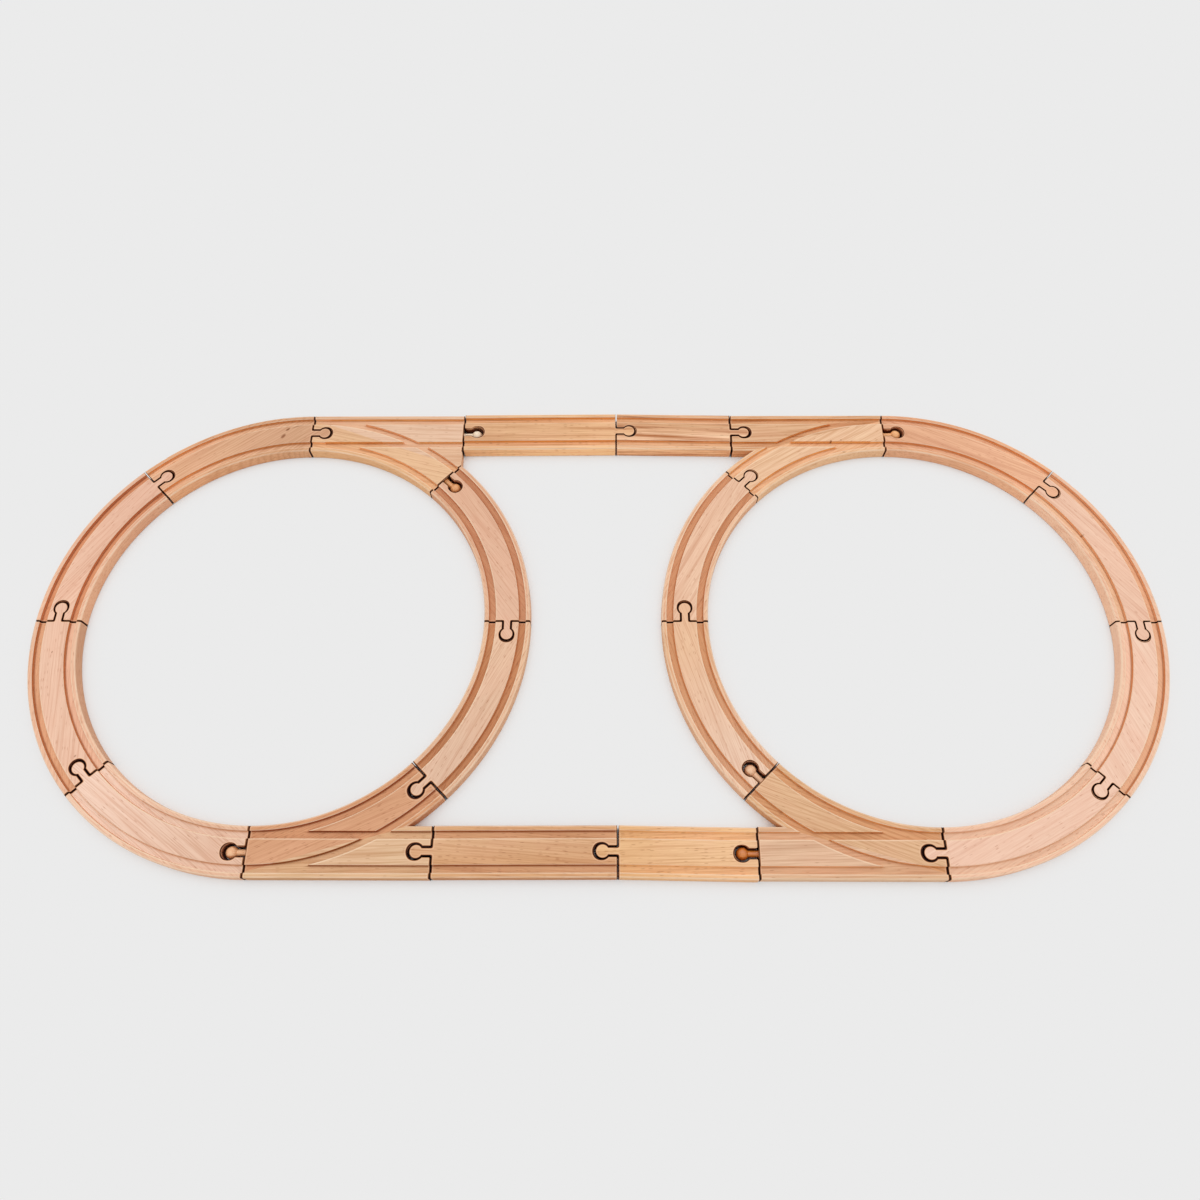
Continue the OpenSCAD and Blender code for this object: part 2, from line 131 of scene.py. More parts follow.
class Graph:
    """A material's node tree, with short calls for the nodes that the wood uses."""

    def __init__(self, name):
        self.mat = bpy.data.materials.new(name)
        self.mat.use_nodes = True
        self.tree = self.mat.node_tree
        self.tree.nodes.clear()
        self.out = self.new("ShaderNodeOutputMaterial")
        self.bsdf = self.new("ShaderNodeBsdfPrincipled")
        self.join(self.bsdf.outputs["BSDF"], self.out.inputs["Surface"])
        self.coords = self.new("ShaderNodeTexCoord").outputs["Object"]

    def new(self, kind, values=None, **props):
        """A node with its properties, and values for its sockets."""
        node = self.tree.nodes.new(kind)
        for key, value in props.items():
            setattr(node, key, value)
        for key, value in (values or {}).items():
            self.feed(node.inputs[key], value)
        return node

    def join(self, a, b):
        self.tree.links.new(a, b)

    def feed(self, socket, value):
        if isinstance(value, bpy.types.NodeSocket):
            self.join(value, socket)
        else:
            socket.default_value = value

    def math(self, op, a, b=0.0, c=0.0):
        node = self.new("ShaderNodeMath", operation=op)
        for socket, value in zip(node.inputs, (a, b, c)):
            self.feed(socket, value)
        return node.outputs[0]

    def times(self, a, b):
        return self.math("MULTIPLY", a, b)

    def less(self, a, b):
        return self.math("SUBTRACT", a, b)

    def rest(self, share):
        return self.less(1.0, share)

    def size(self, a):
        return self.math("ABSOLUTE", a)

    def fold(self, op, so_far, value):
        """The value joined to what came before it, if anything did."""
        return value if so_far is None else self.math(op, so_far, value)

    def vec(self, op, a, b=None, out="Vector"):
        node = self.new("ShaderNodeVectorMath", operation=op)
        self.feed(node.inputs[0], a)
        if b is not None:
            self.feed(node.inputs[1], b)
        return node.outputs[out]

    def distance(self, a, b):
        return self.vec("DISTANCE", a, b, out="Value")

    def split(self, vector):
        return self.new("ShaderNodeSeparateXYZ", {"Vector": vector}).outputs

    def facing_up(self):
        normal = self.new("ShaderNodeNewGeometry").outputs["Normal"]
        return self.vec("DOT_PRODUCT", normal, (0.0, 0.0, 1.0), out="Value")

    def place(self, size, turn=(0.0, 0.0, 0.0), at=(0.0, 0.0, 0.0)):
        """Coordinates in units of size (mm), in a frame turned by turn (degrees) and set at a point (mm)."""
        return self.new("ShaderNodeMapping", {
            "Vector": self.coords,
            "Location": [v * MM for v in at],
            "Rotation": [math.radians(v) for v in turn],
            "Scale": [v * MM for v in size],
        }, vector_type="TEXTURE").outputs["Vector"]

    def noise(self, vector, detail=2.0, rough=0.5, warp=0.0):
        return self.new("ShaderNodeTexNoise", {
            "Vector": vector, "Scale": 1.0, "Detail": detail, "Roughness": rough, "Distortion": warp,
        }, noise_dimensions="3D").outputs["Fac"]

    def noise_vector(self, vector):
        """A noise in each direction, about zero."""
        noise = self.new("ShaderNodeTexNoise", {"Vector": vector, "Scale": 1.5, "Detail": 1.0}, noise_dimensions="3D")
        return self.vec("SUBTRACT", noise.outputs["Color"], (0.5, 0.5, 0.5))

    def ramp(self, value, lo, hi, to_lo=0.0, to_hi=1.0, smooth=True):
        kind = "SMOOTHSTEP" if smooth else "LINEAR"
        return self.new("ShaderNodeMapRange", {
            "Value": value, "From Min": lo, "From Max": hi, "To Min": to_lo, "To Max": to_hi,
        }, interpolation_type=kind).outputs["Result"]

    def mix(self, fac, a, b, blend="MIX"):
        node = self.new("ShaderNodeMix", {"Factor": fac}, data_type="RGBA", blend_type=blend)
        for key, value in (("A", a), ("B", b)):
            socket = [s for s in node.inputs if s.name == key and s.type == "RGBA"][0]
            self.feed(socket, value if isinstance(value, bpy.types.NodeSocket) else (*value, 1.0))
        return [s for s in node.outputs if s.type == "RGBA"][0]

    def tint(self, share, color, by):
        return self.mix(share, color, by, "MULTIPLY")

    def bump(self, height, relief):
        strength, distance = relief
        node = self.new("ShaderNodeBump", {"Strength": strength, "Distance": distance, "Height": height})
        self.join(node.outputs["Normal"], self.bsdf.inputs["Normal"])


def lin(tone):
    """Linear colour of an sRGB tone given in 0 to 255."""
    shares = [c / 255 for c in tone]
    return tuple(c / 12.92 if c <= 0.04045 else ((c + 0.055) / 1.055) ** 2.4 for c in shares)


def scaled(tone, by):
    return [v * by for v in tone]


def side_offset(g, path):
    """Signed distance (mm) of a point from a track's centre line: outward of an arc, or to the north of a row."""
    flat = g.vec("MULTIPLY", g.coords, (TO_MM, TO_MM, 0.0))
    if path[0] == "arc":
        return g.less(g.distance(flat, (*path[1], 0.0)), CURVE_R)
    (x0, y0), (x1, y1) = path[1:]
    length = math.hypot(x1 - x0, y1 - y0)
    normal = (-(y1 - y0) / length, (x1 - x0) / length, 0.0)
    return g.vec("DOT_PRODUCT", g.vec("SUBTRACT", flat, (x0, y0, 0.0)), normal, out="Value")


def joint_edge(g, joint, kind):
    """Distance (mm) of a point on a board from the edge that its joint cuts. joint: place (mm), heading (degrees)."""
    x, y, heading = joint
    there = g.place((1.0, 1.0, 1.0), (0.0, 0.0, heading), (x, y, 0.0))
    flat = g.vec("MULTIPLY", there, (1.0, 1.0, 0.0))
    axes = g.split(flat)
    along = axes["X"]
    beside = g.size(axes["Y"])
    if kind in ("socket", "cup"):
        hole = g.less(g.distance(flat, (SOCKET_AT, 0.0, 0.0)), SOCKET_R)
        slot = g.math("MAXIMUM", g.less(beside, SLOT_HALF), g.less(along, SOCKET_AT))
        hole = g.less(hole, g.ramp(along, SOCKET_AT, SOCKET_AT + SOCKET_R, 0.0, TIP_SHADE))
        edge = g.math("MINIMUM", g.less(along, END_FACE), g.math("MINIMUM", hole, slot))
    else:
        edge = g.less(-END_FACE, along)
    if kind == "tongue":
        head = g.less(HEAD_R, g.distance(flat, (HEAD_AT, 0.0, 0.0)))
        neck = g.math("MINIMUM", g.less(NECK_HALF, beside), g.less(HEAD_AT, along))
        edge = g.math("MAXIMUM", head, g.math("SMOOTH_MAX", neck, edge, ROOT_BLEND))
    away = g.math("MAXIMUM", beside, g.size(along))
    return g.math("ADD", g.size(edge), g.ramp(away, *JOINT_END, 0.0, OUT_OF_REACH))


def grain(g, look):
    """The bare wood: its colour, and the noises that other features use."""
    at = scaled(SEED_STEP, look["seed"])
    turn = (0.0, 0.0, look["grain"])
    tone, dark = lin(look["tone"]), lin(look["dark"])
    light = lin([min(LIGHT_MAX, v + LIGHT_STEP) for v in look["tone"]])

    broad = g.noise(g.place(BROAD_SIZE, turn, at), detail=2.0, warp=0.3)
    streak = g.noise(g.place(STREAK_SIZE, turn, at), detail=3.0, rough=0.6, warp=0.25)
    fibre = g.noise(g.place(FIBRE_SIZE, turn, at), detail=2.0, rough=0.6)
    vein = g.noise(g.place(VEIN_SIZE, turn, at), detail=2.0, rough=0.55, warp=0.15)
    cloud = g.noise(g.place(CLOUD_SIZE, turn, at), detail=3.0)

    # growth rings: the log's axis lies under the board and is a little tilted, so the rings open into arches
    log = g.place((1, 1, 1), (0.0, LOG_TILT, look["grain"]), (0.0, 0.0, -LOG_DEPTH))
    wave = g.new("ShaderNodeTexWave", {
        "Vector": log, "Scale": RING_SCALE, "Distortion": 4.0,
        "Detail": 2.0, "Detail Scale": 0.35, "Detail Roughness": 0.55,
    }, wave_type="RINGS", rings_direction="X", wave_profile="SIN")
    rings = g.math("POWER", wave.outputs["Fac"], RING_SHARPNESS)

    # flecks: short dark dashes along the grain, in some of the cells
    cells = g.new("ShaderNodeTexVoronoi", {"Vector": g.place(FLECK_SIZE, turn, at), "Scale": 1.0},
                  feature="F1", voronoi_dimensions="3D")
    draw = g.new("ShaderNodeSeparateColor", {"Color": cells.outputs["Color"]}).outputs["Red"]
    chosen = g.ramp(draw, FLECK_LEAST - look["flecks"], FLECK_MOST - look["flecks"] * FLECK_SLOPE)
    fleck = g.times(g.ramp(cells.outputs["Distance"], *FLECK_SPAN), chosen)
    fleck_tone = [v * k for v, k in zip(look["dark"], FLECK_TINT)]

    color = g.mix(g.ramp(broad, *BROAD_SPAN), light, tone)
    color = g.mix(g.times(g.ramp(streak, *STREAK_SPAN), look["streaks"]), color, dark)
    color = g.mix(g.times(g.ramp(streak, *CREAM_SPAN), look["cream"]), color, lin(CREAM))
    color = g.mix(g.times(g.ramp(vein, *VEIN_SPAN), look["veins"]), color, dark)
    color = g.mix(g.times(rings, look["rings"]), color, dark)
    color = g.mix(g.times(fleck, FLECK_DEPTH), color, lin(fleck_tone))
    color = g.mix(g.ramp(fibre, *MOST, FIBRE_DEPTH, 0.0), color, dark)
    color = g.mix(g.ramp(cloud, *CLOUD_SPAN, 0.0, BLUSH_DEPTH), color, lin(BLUSH))

    # marks: small knots and pins at their own places
    for (x, y), (length, width), mark_turn, depth in look["marks"]:
        spot = g.place((length, width, MARK_DOWN), (0.0, 0.0, mark_turn), (x, y, BOARD_TOP))
        ragged = g.vec("ADD", spot, g.vec("MULTIPLY", g.noise_vector(spot), MARK_RAG))
        near = g.vec("LENGTH", ragged, out="Value")
        color = g.mix(g.ramp(near, *MARK_SPAN, 0.0, depth), color, lin(KNOT))
    return SimpleNamespace(color=color, fibre=fibre, cloud=cloud, fleck=fleck, rings=rings)


def groove_line(g, lanes, span):
    """The line along one edge of each groove's floor, left out where another groove runs through it."""
    line = None
    for i, (local, _, lane) in enumerate(lanes):
        part = g.times(lane, g.ramp(local, *span))
        for k, (across, away, _) in enumerate(lanes):
            if k != i:
                crossed = g.times(g.ramp(away, *CROSSING), g.ramp(across, *reversed(span)))
                part = g.times(part, g.rest(crossed))
        line = g.fold("MAXIMUM", line, part)
    return line


def faces(g, look, paths):
    """Where a point lies on the board: a mask for each kind of face."""
    height = g.times(g.split(g.coords)["Z"], TO_MM)
    up = g.facing_up()
    upright = g.ramp(g.size(up), *UPRIGHT)
    sunk = g.times(g.ramp(height, *SUNK_HEIGHT), g.ramp(height, *GROOVE_HEIGHT))
    side = groove = lit_lip = arc_lane = None
    lanes = []
    for path in paths:
        out = side_offset(g, path)
        local = g.less(out, g.times(g.math("SIGN", out), GROOVE_AT))
        if path[0] == "arc":
            local = g.times(local, look["shade"])
        mid = g.size(local)
        lane = g.times(g.ramp(mid, *GROOVE_EDGE), sunk)
        lanes.append((local, mid, lane))
        if path[0] == "arc":
            arc_lane = lane
        side = g.fold("MINIMUM", side, g.size(out))
        groove = g.fold("MAXIMUM", groove, lane)
        lit_lip = g.fold("MAXIMUM", lit_lip, g.ramp(g.size(g.math("ADD", local, GROOVE_RIM_AT)), *GROOVE_RIM))
    within = g.ramp(side, *BOARD_EDGE)
    wall = g.times(groove, g.ramp(up, *GROOVE_WALL))
    bevel = g.times(g.ramp(up, *BEVEL), g.ramp(height, *BEVEL_HEIGHT))
    return SimpleNamespace(
        height=height, side=side, out=out, arc_lane=arc_lane, wall=wall,
        joint=g.times(g.times(upright, within), g.rest(groove)),
        outer=g.times(upright, g.rest(within)),
        bed=g.less(groove, wall),
        # where a groove's floor gets a painted shadow line, and where it gets a painted light line
        corner=groove_line(g, lanes, CORNER_LINE),
        lit_sill=groove_line(g, lanes, SILL_LINE),
        rail=g.times(g.ramp(side, *RAIL), g.rest(groove)),
        # where the painted highlights lie: each groove's lit lip, and the rounded top edges
        lit_lip=g.times(lit_lip, g.ramp(height, *LIP_HEIGHT)),
        edge_highlight=g.times(bevel, g.ramp(up, *BEVEL_TOP)),
    )


def paint_faces(g, look, at, color, cloud):
    """Tints of the board's ends, grooves, walls and rails, with painted shade and light in the grooves and on the
    walls, and painted highlights on the paler edges.
    """
    # the tone's slow change along the board, or across its middle band alone
    for key, share in (("drift", 1.0), ("band_drift", g.ramp(at.side, *MIDDLE_BAND))):
        if look[key]:
            (x, y, heading), half, low, high = look[key]
            along = g.split(g.place((half, half, half), (0.0, 0.0, heading), (x, y, 0.0)))["X"]
            color = g.tint(share, color, g.mix(g.ramp(along, -1.0, 1.0, smooth=False), low, high))

    # the grooves' floors: painted shade and light of the recesses, with the floors' own tone
    floor = look["floor"]
    if look["inner_floor"]:
        floor = g.mix(g.ramp(at.out, 1.0, -1.0), floor, look["inner_floor"])
    color = g.tint(at.bed, color, floor)
    # painted shadow along each groove's floor at its shaded wall
    color = g.tint(g.times(at.bed, at.corner), color, look["corner"])
    # painted light along each groove's floor at its lit wall
    color = g.tint(g.times(at.bed, at.lit_sill), color, SILL_LIGHT_TINT)
    # painted shade and light on the grooves' walls
    cheek = look["cheek"]
    if look["arc_cheek"]:
        cheek = g.mix(at.arc_lane, cheek, look["arc_cheek"])
    color = g.tint(at.wall, color, cheek)
    # painted light and shade on the board's outer walls
    color = g.tint(at.outer, color, look["wall"])
    color = g.tint(at.rail, color, look["rail"])
    # painted highlight on each groove's lit lip
    color = g.mix(g.times(at.lit_lip, g.ramp(cloud, *MOST, *LIT_LIP_HIGHLIGHT_DEPTH)), color, lin(LIT_LIP_HIGHLIGHT))
    # painted highlight on the rounded top edges
    return g.mix(g.times(at.edge_highlight, g.ramp(cloud, *MOST, *ROUNDED_EDGE_HIGHLIGHT_DEPTH)), color, lin(ROUNDED_EDGE_HIGHLIGHT))


def paint_joints(g, joints, at, color):
    """Painted shade of the gap on the top edges beside each joint, warm farther out, with a painted highlight line
    beside it; painted shade on the faces of a shut joint, bare end grain in an open one.
    """
    edge = cup = None
    for place, kind, weight in joints:
        reach = joint_edge(g, place, kind)
        edge = g.fold("MINIMUM", edge, g.math("DIVIDE", reach, weight))
        if kind == "cup":
            cup = reach
    # painted highlight: a pale line beside each joint's edge
    color = g.mix(g.ramp(edge, *PALE_REACH, 0.0, PALE_DEPTH), color, lin(JOINT_HIGHLIGHT))
    space = g.new("ShaderNodeAmbientOcclusion", {"Distance": SHUT_REACH}, samples=SHUT_SAMPLES)
    shut = g.ramp(space.outputs["AO"], *SHUT_SPAN)
    bare = g.times(at.joint, g.rest(shut))
    color = g.tint(bare, color, END_GRAIN)
    # painted shade on the faces of a shut joint
    gap_shade = g.mix(g.ramp(at.height, *GAP_HEIGHT), GAP_SHADE_LOW, GAP_SHADE_HIGH)
    color = g.tint(g.times(at.joint, shut), color, gap_shade)
    # painted shade of the gap on the top edges beside a joint, warm farther out and near black at the edge
    color = g.tint(g.times(g.rest(bare), g.ramp(edge, *WARM_GAP_SHADE_REACH)), color, WARM_GAP_SHADE)
    gap_edge_shade = g.times(g.rest(bare), g.ramp(edge, *GAP_EDGE_SHADE_REACH))
    if cup is not None:
        cup_wall = g.times(at.joint, g.ramp(cup, *CUP_REACH, 0.0, CUP_BARE))
        gap_edge_shade = g.times(gap_edge_shade, g.rest(cup_wall))
    return g.tint(gap_edge_shade, color, GAP_EDGE_SHADE)


def wood(name, look, paths, joints):
    """Beech board, from its look, the tracks that cross it and the joints that cut it."""
    g = Graph(name)
    bare = grain(g, look)
    at = faces(g, look, paths)
    color = paint_faces(g, look, at, bare.color, bare.cloud)
    g.join(paint_joints(g, joints, at, color), g.bsdf.inputs["Base Color"])

    rough = g.math("ADD", g.times(bare.fibre, FIBRE_ROUGH), g.times(bare.cloud, CLOUD_ROUGH))
    rough = g.less(g.ramp(rough, *MOST, *WOOD_ROUGH), g.times(at.edge_highlight, RIM_POLISH))
    g.join(rough, g.bsdf.inputs["Roughness"])
    g.bsdf.inputs["Specular IOR Level"].default_value = WOOD_SPECULAR
    relief = g.less(g.times(bare.fibre, FIBRE_RELIEF), g.times(bare.fleck, FLECK_RELIEF))
    g.bump(g.less(relief, g.times(bare.rings, RING_RELIEF)), WOOD_RELIEF)
    return g.mat


def turned(name, tone, dark, axis_deg, at, rough, coat):
    """Turned peg: grain along its axis, faint rings round it from the lathe, and painted warm shade on its sides."""
    g = Graph(name)
    turn = (0.0, 0.0, axis_deg)
    fibre = g.noise(g.place(PEG_FIBRE_SIZE, turn, at), detail=3.0, rough=0.6)
    cloud = g.noise(g.place(PEG_CLOUD_SIZE, turn, at), detail=2.0)
    lathe = g.noise(g.place(LATHE_SIZE, turn, at), detail=1.0)
    color = g.mix(g.ramp(fibre, *PEG_SPAN), lin(tone), lin(dark))
    color = g.mix(g.ramp(cloud, *PEG_SPAN, 0.0, PEG_CLOUD_DEPTH), color, lin(scaled(dark, PEG_CLOUD_DARK)))
    color = g.mix(g.ramp(lathe, *LATHE_SPAN, 0.0, LATHE_DEPTH), color, lin(scaled(dark, LATHE_DARK)))
    # painted warm shade on the peg's sides, none on its top
    color = g.tint(g.ramp(g.facing_up(), *PEG_SIDE_SHADE_SPAN), color, PEG_SIDE_SHADE)
    g.join(color, g.bsdf.inputs["Base Color"])
    spread = g.ramp(cloud, *MOST, rough - PEG_ROUGH_SPREAD, rough + PEG_ROUGH_SPREAD)
    g.join(spread, g.bsdf.inputs["Roughness"])
    g.bsdf.inputs["Coat Weight"].default_value = coat
    g.bsdf.inputs["Coat Roughness"].default_value = PEG_COAT_ROUGH
    g.bump(g.math("ADD", lathe, g.times(fibre, PEG_FIBRE_RELIEF)), PEG_RELIEF)
    return g.mat


def row(start, end):
    return ("line", start, end)


def on_loop(centre, angle):
    """Joint on a loop: its place and the way its tongue points."""
    a = math.radians(angle)
    return (centre[0] + CURVE_R * math.cos(a), centre[1] + CURVE_R * math.sin(a), angle - 90.0)


ARC_L = ("arc", LEFT)
ARC_R = ("arc", RIGHT)
ROW_BACK = row((-LOOP_X, CURVE_R), (LOOP_X, CURVE_R))
ROW_FRONT = row((-LOOP_X, -CURVE_R), (LOOP_X, -CURVE_R))

# A board's look where its own doesn't say otherwise
PLAIN = dict(
    streaks=0.15, cream=0.0, veins=0.4, rings=0.06, flecks=0.25,  # how strong each is, or how many
    marks=(),  # knots and pins: place, size, turn and strength of each
    shade=1,  # 1 where an arc's grooves are dark on the side away from its centre, -1 on the near side
    floor=(1.02, 0.96, 0.88), inner_floor=None,  # tints of the grooves' floors, painted shade and light of the recesses with the floors' own tone, the second for an arc's inner groove
    corner=(0.74, 0.56, 0.40),  # the painted shadow line along a groove's floor, at its shaded wall
    cheek=(1.0, 0.62, 0.34), arc_cheek=None,  # painted shade and light on the grooves' walls, the second for a switch's curved track
    wall=(1.0, 0.93, 0.84), rail=(1.0, 0.95, 0.88),  # the board's outer walls, lighter or darker as painted light and shade, and the strips outside the grooves
    drift=None, band_drift=None,  # place and heading, half the length, and the tints at the two ends
)


def beech(tone, dark, angle, seed, **own):
    """A board's look: its tone and its dark lines (sRGB), the grain's angle (degrees), a seed, and what is its own."""
    return dict(PLAIN, tone=tone, dark=dark, grain=angle, seed=seed, **own)


# Each board's own look; its tints of the grooves' floors and walls and of its outer walls carry painted shade and
# light
BOARDS = {
    "curve_left_back": (beech(
        (225, 177, 140), (180, 116, 74), 38, 1, rings=0.28, flecks=0.2,
        floor=(1.17, 1.24, 1.26), cheek=(1.02, 0.78, 0.46), wall=(1.13, 1.1, 1.05),
        drift=(on_loop(LEFT, 112.5), 50, (1.08, 1.08, 1.09), (0.93, 0.95, 0.96)),
        marks=(((-295.6, 199.2), (3.2, 1.4), 40, 0.9), ((-299.0, 191.6), (4.0, 2.0), 55, 0.8),
               ((-287.0, 202.6), (8.5, 0.8), 22, 0.5))), [ARC_L]),
    "curve_left_outer_back": (beech(
        (239, 195, 168), (204, 140, 108), 56, 2, flecks=0.3,
        floor=(0.88, 0.63, 0.44), corner=(0.44, 0.23, 0.13), cheek=(0.8, 0.49, 0.27),
        drift=(on_loop(LEFT, 157.5), 50, (1.05, 1.08, 1.10), (0.97, 0.97, 0.98))), [ARC_L]),
    "curve_left_outer_front": (beech(
        (242, 201, 175), (206, 146, 114), 98, 3, flecks=0.3,
        floor=(0.95, 0.8, 0.62), inner_floor=(1.06, 1.0, 0.93), corner=(0.46, 0.25, 0.14),
        cheek=(0.74, 0.44, 0.21), wall=(0.82, 0.74, 0.66),
        marks=(((-464.6, -29.0), (1.5, 0.8), 80, 0.55), ((-422.9, -119.6), (1.7, 1.0), 60, 0.55))), [ARC_L]),
    "curve_left_front": (beech(
        (241, 206, 183), (200, 142, 108), -36, 4, flecks=0.2, shade=-1,
        floor=(1.06, 1.14, 1.17), corner=(0.88, 0.72, 0.56), cheek=(0.85, 0.6, 0.4),
        drift=(on_loop(LEFT, 247.5), 50, (0.95, 0.92, 0.89), (1.07, 1.09, 1.12))), [ARC_L]),
    "curve_left_inner_front": (beech(
        (235, 197, 167), (188, 130, 94), 62, 5, flecks=0.45, shade=-1,
        floor=(0.73, 0.5, 0.33), corner=(0.82, 0.66, 0.5), cheek=(0.9, 0.6, 0.33),
        drift=(on_loop(LEFT, 337.5), 50, (1.03, 1.04, 1.04), (0.96, 0.97, 1.0))), [ARC_L]),
    "curve_left_inner_back": (beech(
        (229, 185, 156), (194, 132, 100), -54, 6, flecks=0.4, shade=-1,
        floor=(0.82, 0.64, 0.49), corner=(0.82, 0.66, 0.5), cheek=(0.88, 0.56, 0.34),
        drift=(on_loop(LEFT, 22.5), 50, (0.99, 0.98, 0.96), (1.03, 1.06, 1.08))), [ARC_L]),
    "curve_right_back": (beech(
        (239, 186, 147), (194, 128, 92), -26, 7, streaks=0.4,
        floor=(1.03, 1.05, 1.03), cheek=(0.96, 0.73, 0.42), wall=(1.06, 1.1, 1.12),
        drift=(on_loop(RIGHT, 67.5), 50, (0.97, 0.95, 0.96), (1.07, 1.09, 1.13))), [ARC_R]),
    "curve_right_outer_back": (beech(
        (245, 205, 179), (208, 148, 118), -52, 8,
        floor=(0.96, 0.86, 0.7), inner_floor=(1.0, 1.0, 0.86), corner=(0.58, 0.4, 0.27),
        cheek=(1.02, 0.84, 0.58), wall=(1.12, 1.14, 1.13),
        marks=(((436.6, 84.2), (1.6, 1.2), 0, 0.6),)), [ARC_R]),
    "curve_right_outer_front": (beech(
        (249, 210, 186), (212, 154, 124), -70, 9, veins=0.25,
        floor=(0.95, 0.84, 0.68), inner_floor=(1.07, 1.1, 1.07), corner=(0.48, 0.29, 0.17),
        cheek=(0.86, 0.57, 0.31), wall=(1.03, 1.03, 1.02)), [ARC_R]),
    "curve_right_front": (beech(
        (245, 207, 183), (210, 150, 120), 28, 10, veins=0.28, flecks=0.3, shade=-1,
        floor=(0.95, 0.97, 0.91), corner=(0.9, 0.8, 0.68), cheek=(1.0, 0.9, 0.78)), [ARC_R]),
    "curve_right_inner_front": (beech(
        (239, 201, 170), (200, 142, 106), -72, 11, flecks=0.35, shade=-1,
        floor=(0.83, 0.69, 0.54), cheek=(1.05, 0.75, 0.42),
        drift=(on_loop(RIGHT, 202.5), 50, (1.01, 1.06, 1.15), (0.98, 0.94, 0.87))), [ARC_R]),
    "curve_right_inner_back": (beech(
        (242, 203, 173), (198, 138, 102), 60, 12, streaks=0.4, flecks=0.3, shade=-1,
        floor=(0.8, 0.61, 0.45), cheek=(0.95, 0.66, 0.4)), [ARC_R]),
    "straight_back_long": (beech(
        (237, 190, 144), (174, 106, 54), 0, 13, streaks=0.45, cream=0.3, flecks=0.35,
        floor=(1.1, 1.08, 1.04), corner=(0.82, 0.68, 0.52), cheek=(1.05, 0.77, 0.34),
        wall=(1.22, 1.2, 1.12), rail=(1.06, 1.08, 1.06),
        drift=((-57.0, 196.5, 0.0), 50, (0.95, 0.95, 0.97), (1.06, 1.07, 1.08))), [row(BACK_START, BACK_MID)]),
    "straight_back_short": (beech(
        (240, 193, 151), (168, 100, 54), -3, 14, streaks=1.0, cream=0.8, flecks=0.2,
        floor=(1.05, 1.04, 1.0), corner=(0.82, 0.68, 0.52), cheek=(1.02, 0.76, 0.44),
        wall=(1.2, 1.14, 1.05), rail=(1.03, 1.02, 1.0),
        band_drift=((72.0, 196.0, 90.0), 7, (1.14, 1.21, 1.31), (0.88, 0.81, 0.75))), [row(BACK_MID, BACK_END)]),
    "straight_front_long": (beech(
        (223, 176, 133), (176, 112, 66), -4, 15, streaks=0.25, flecks=0.6,
        floor=(1.03, 0.98, 0.95), corner=(0.46, 0.25, 0.12), cheek=(0.68, 0.32, 0.12), wall=(0.86, 0.70, 0.54),
        band_drift=((-57.0, -194.4, 90.0), 7, (0.97, 0.93, 0.89), (1.05, 1.10, 1.16))),
        [row(FRONT_START, FRONT_MID)]),
    "straight_front_short": (beech(
        (239, 194, 146), (190, 128, 78), 2, 16, streaks=0.3, flecks=0.6,
        floor=(0.99, 0.97, 0.92), corner=(0.92, 0.86, 0.76), cheek=(1.25, 1.3, 1.15), wall=(1.08, 1.08, 1.04),
        drift=((60.0, -194.9, 0.0), 30, (0.98, 0.97, 0.93), (1.05, 1.08, 1.14))), [row(FRONT_MID, FRONT_END)]),
    "switch_front_left_main": (beech(
        (229, 193, 156), (190, 138, 92), 2, 17, streaks=0.45, flecks=0.15, shade=-1,
        corner=(0.45, 0.26, 0.13), cheek=(0.62, 0.3, 0.12), wall=(0.86, 0.70, 0.54)), [ROW_FRONT, ARC_L]),
    "switch_front_left_branch": (beech(
        (222, 168, 129), (176, 112, 74), 24, 18, flecks=0.5, shade=-1,
        corner=(0.42, 0.22, 0.1), cheek=(0.6, 0.26, 0.1)), [ROW_FRONT, ARC_L]),
    "switch_back_left_main": (beech(
        (234, 198, 169), (196, 142, 104), -2, 19, flecks=0.2,
        cheek=(1.06, 0.78, 0.36), arc_cheek=(1.2, 1.0, 0.74)), [ROW_BACK, ARC_L]),
    "switch_back_left_branch": (beech(
        (237, 195, 153), (192, 136, 96), -14, 20, flecks=0.2,
        cheek=(1.06, 0.78, 0.4), arc_cheek=(1.2, 1.0, 0.74), wall=(1.06, 1.02, 0.94)), [ROW_BACK, ARC_L]),
    "switch_back_right_main": (beech(
        (229, 185, 145), (180, 112, 62), 4, 21, streaks=0.6, cream=0.4, flecks=0.2,
        cheek=(1.08, 0.84, 0.42), arc_cheek=(1.2, 0.92, 0.52), wall=(1.06, 1.0, 0.9)), [ROW_BACK, ARC_R]),
    "switch_back_right_branch": (beech(
        (245, 206, 169), (200, 140, 92), 32, 22, streaks=0.3, rings=0.2, flecks=0.2,
        cheek=(1.1, 0.88, 0.46), wall=(1.05, 1.06, 1.04),
        marks=(((221.1, 185.3), (1.4, 1.1), 0, 0.8), ((230.6, 186.4), (1.3, 0.9), 0, 0.5),
               ((232.0, 172.9), (2.2, 0.8), -10, 0.5))), [ROW_BACK, ARC_R]),
    "switch_front_right_main": (beech(
        (231, 193, 160), (186, 134, 100), 2, 23, streaks=0.55, flecks=0.15, shade=-1,
        floor=(0.97, 0.9, 0.82), corner=(0.82, 0.7, 0.56), cheek=(1.2, 0.95, 0.58),
        wall=(1.08, 1.12, 1.12)), [ROW_FRONT, ARC_R]),
    "switch_front_right_branch": (beech(
        (230, 188, 148), (180, 120, 72), -22, 24, rings=0.22, flecks=0.15, shade=-1,
        floor=(0.94, 0.82, 0.7), corner=(0.76, 0.6, 0.44), cheek=(1.15, 0.88, 0.5)), [ROW_FRONT, ARC_R]),
}

